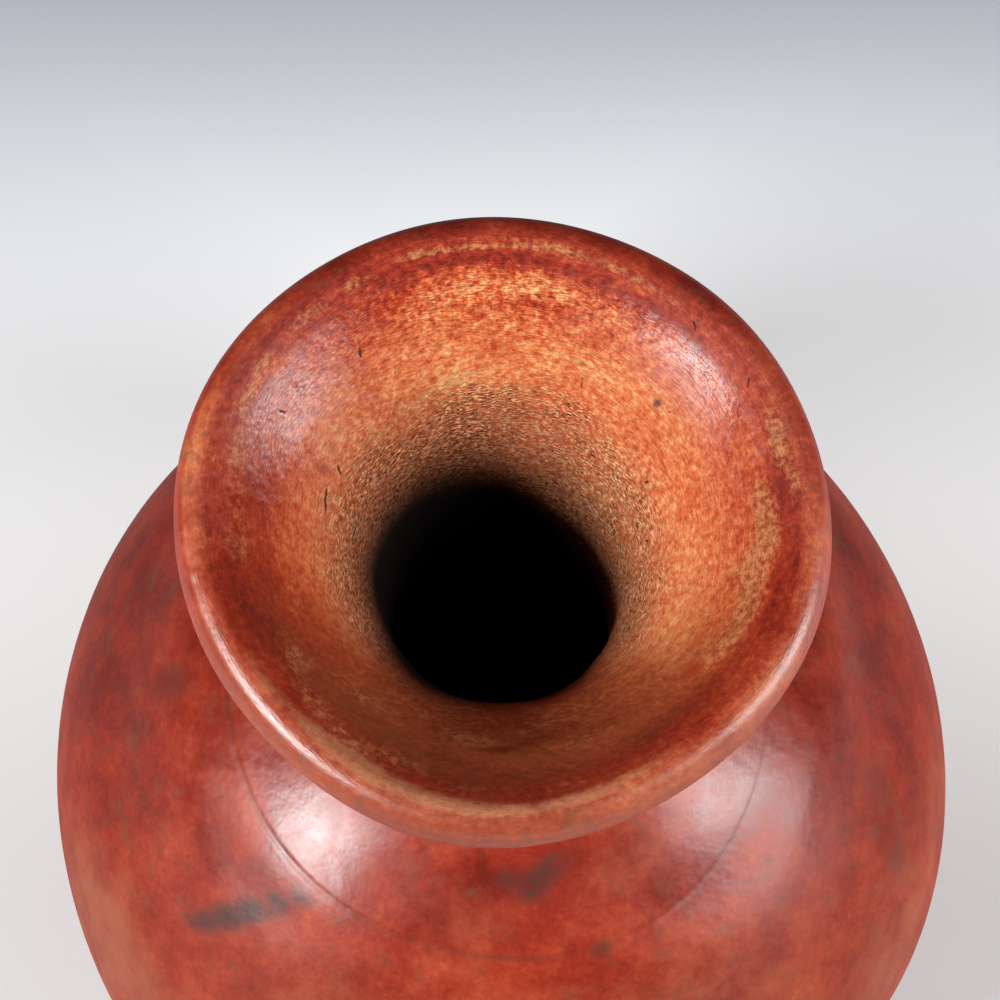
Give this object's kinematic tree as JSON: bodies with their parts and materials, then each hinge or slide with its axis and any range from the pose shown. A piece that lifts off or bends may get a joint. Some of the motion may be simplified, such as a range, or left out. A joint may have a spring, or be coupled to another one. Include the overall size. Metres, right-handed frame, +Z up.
{
  "type": "long-necked vessel",
  "caption": "Hollow, round-bodied fired-clay jar with a narrow neck, a wide flared mouth with a rounded lip, and a shallow ring cut round the shoulder.",
  "frame": {"origin": "middle of the flat foot, on the surface the vessel stands on", "axes": "+Z up along the neck; the picture looks from the -Y side, from high above, along +Y and down"},
  "size_m": [0.2084, 0.2084, 0.2758],
  "materials": {
    "redware": "burnished red slip, worn to buff clay inside the mouth"
  },
  "bodies": {
    "root": {"vessel": "redware"}
  },
  "joints": []
}
